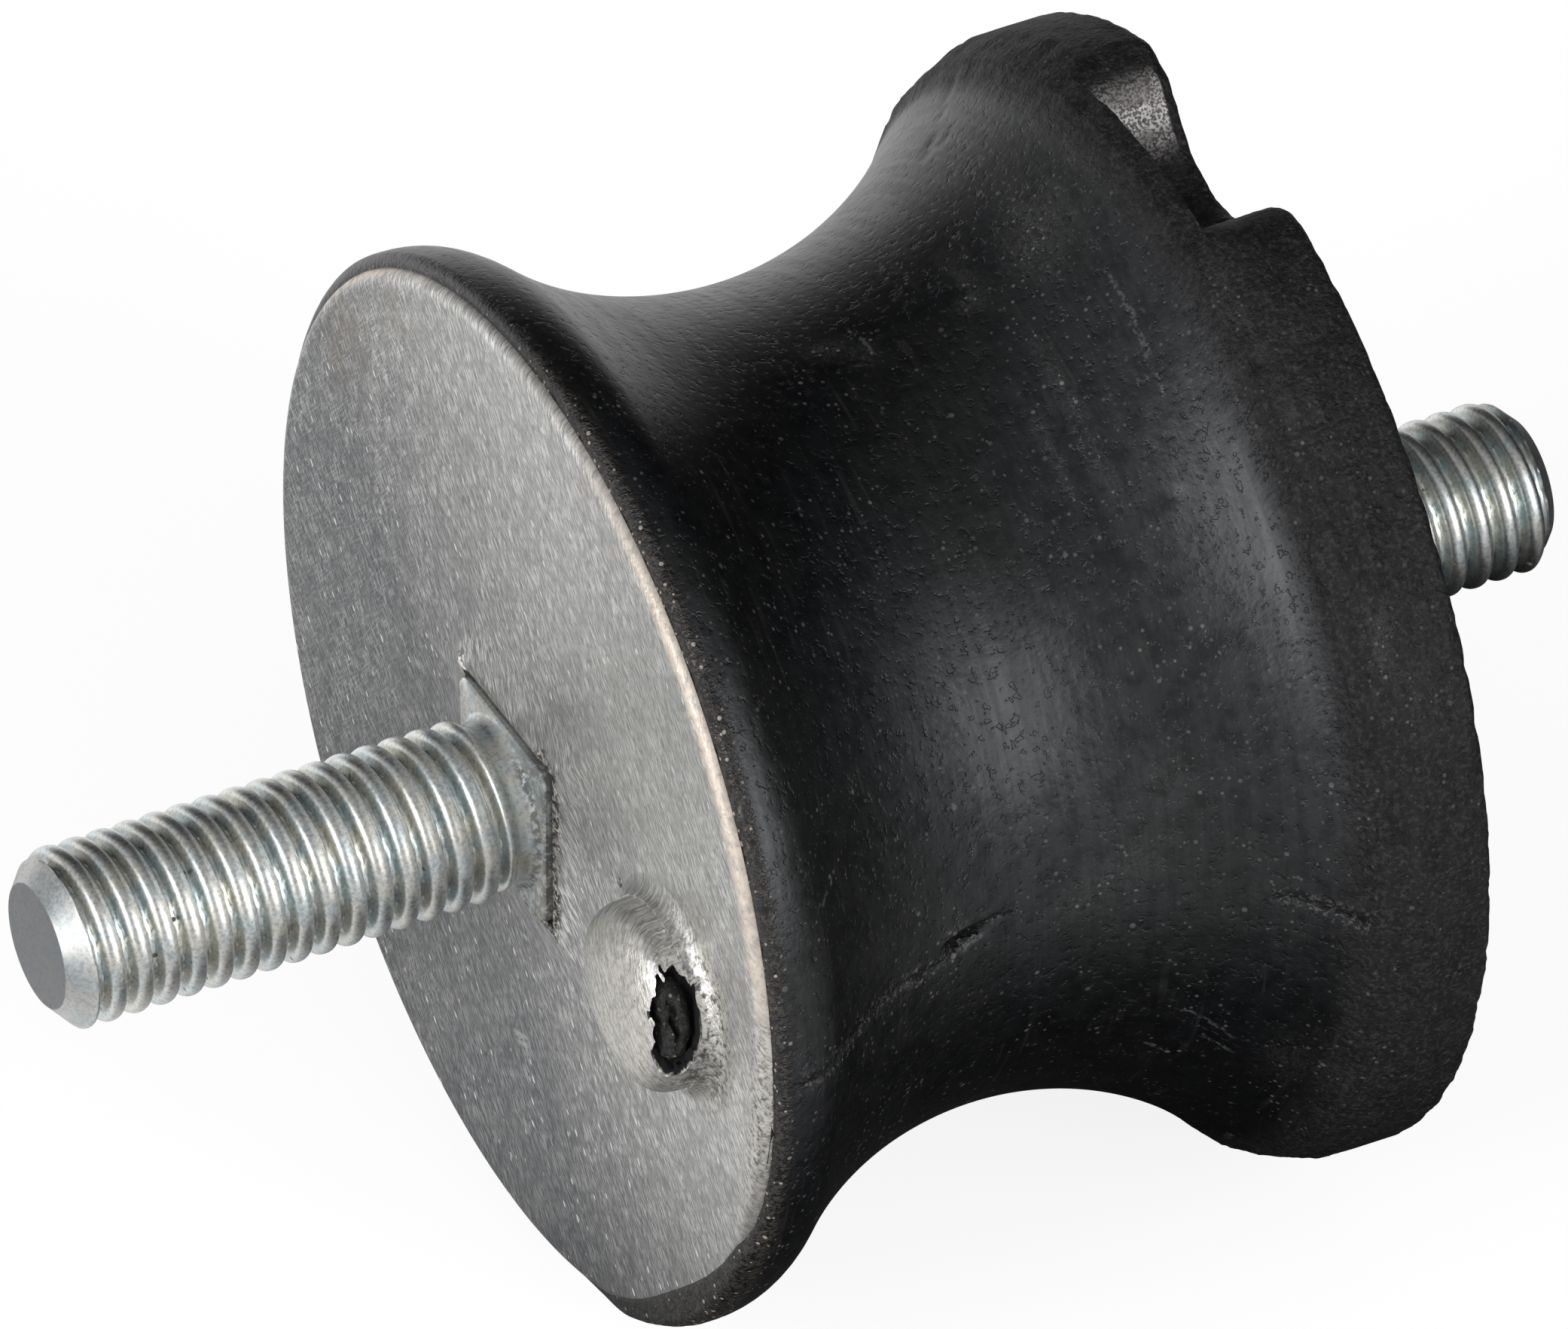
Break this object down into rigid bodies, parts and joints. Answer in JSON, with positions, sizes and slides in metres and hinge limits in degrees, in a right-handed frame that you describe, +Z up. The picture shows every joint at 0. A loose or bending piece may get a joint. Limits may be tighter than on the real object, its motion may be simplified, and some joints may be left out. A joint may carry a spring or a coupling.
{
  "type": "transmission mount",
  "caption": "Waisted rubber mount bonded between two round steel plates, with a threaded stud at each end, a locating nub on the front plate and a notch in the rear rim.",
  "frame": {"origin": "centre of the front plate's outer face, on the axis of both studs", "axes": "+X along the axis towards the rear stud, -X towards the front stud, +Z up through the notch in the rear rim, -Y through the locating nub"},
  "size_m": [0.0708, 0.0502, 0.0498],
  "materials": {
    "rubber": "satin moulded black rubber, dusty",
    "plate_steel": "brushed bare steel",
    "stud_steel": "bright zinc plated, rolled thread"
  },
  "bodies": {
    "root": {"rubber_body": "rubber", "front_plate": "plate_steel", "front_stud": "stud_steel", "rear_plate": "plate_steel", "rear_stud": "stud_steel"}
  },
  "joints": []
}
